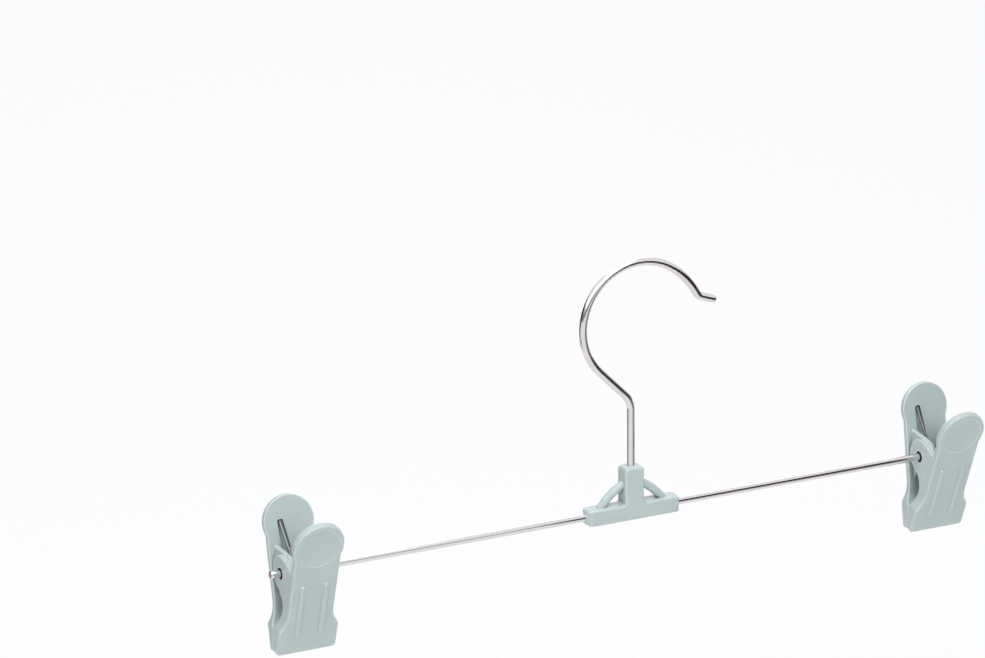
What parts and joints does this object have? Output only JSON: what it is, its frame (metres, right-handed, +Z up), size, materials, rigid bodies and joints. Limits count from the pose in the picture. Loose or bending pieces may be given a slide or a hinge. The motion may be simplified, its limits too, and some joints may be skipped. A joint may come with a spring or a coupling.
{
  "type": "skirt hanger",
  "caption": "Clothes hanger with a chromed wire hook that swivels in a plastic T connector on a straight chromed bar, which carries sliding sprung plastic clips for a skirt's waistband.",
  "frame": {"origin": "where the rail bears: the inside of the hook's loop, straight above the shank, in the plane of the hook", "axes": "+X along the crossbar from the left clip to the right clip as seen from the front, +Y away from the viewer, +Z up"},
  "size_m": [0.31, 0.0371, 0.1352],
  "materials": {
    "hook_wire": "bright chrome plating on drawn steel wire",
    "bar_wire": "bright chrome plating on drawn steel wire",
    "moulded_plastic": "pale sage grey, satin moulded",
    "spring_wire": "bright drawn spring wire"
  },
  "bodies": {
    "hook": {"hook": "hook_wire"},
    "frame": {"connector": "moulded_plastic", "crossbar": "bar_wire"},
    "left_slider": {"left_spring": "spring_wire"},
    "left_back": {"left_back_jaw": "moulded_plastic"},
    "left_front": {"left_front_jaw": "moulded_plastic"},
    "right_slider": {"right_spring": "spring_wire"},
    "right_back": {"right_back_jaw": "moulded_plastic"},
    "right_front": {"right_front_jaw": "moulded_plastic"}
  },
  "joints": [
    {"name": "hook_swivel", "type": "hinge", "parent": "hook", "child": "frame", "pos_m": [0, 0, -0.09885], "axis": [0, 0, 1], "continuous": true},
    {"name": "left_slide", "type": "slide", "parent": "frame", "child": "left_slider", "axis": [1, 0, 0], "range_m": [-0.0037, 0.1105]},
    {"name": "left_swing", "type": "hinge", "parent": "left_slider", "child": "left_back", "pos_m": [-0.1413, 0, -0.09885], "axis": [1, 0, 0], "continuous": true, "deforming": ["left_spring"]},
    {"name": "left_open", "type": "hinge", "parent": "left_back", "child": "left_front", "pos_m": [-0.1413, 0, -0.09885], "axis": [-1, 0, 0], "range_deg": [0, 40], "stiffness_Nm_per_rad": 0.15, "springref_deg": -51.57, "deforming": ["left_spring"]},
    {"name": "right_slide", "type": "slide", "parent": "frame", "child": "right_slider", "axis": [-1, 0, 0], "range_m": [-0.0028, 0.1114]},
    {"name": "right_swing", "type": "hinge", "parent": "right_slider", "child": "right_back", "pos_m": [0.1422, 0, -0.09885], "axis": [1, 0, 0], "continuous": true, "deforming": ["right_spring"]},
    {"name": "right_open", "type": "hinge", "parent": "right_back", "child": "right_front", "pos_m": [0.1422, 0, -0.09885], "axis": [-1, 0, 0], "range_deg": [0, 40], "stiffness_Nm_per_rad": 0.15, "springref_deg": -51.57, "deforming": ["right_spring"]}
  ]
}
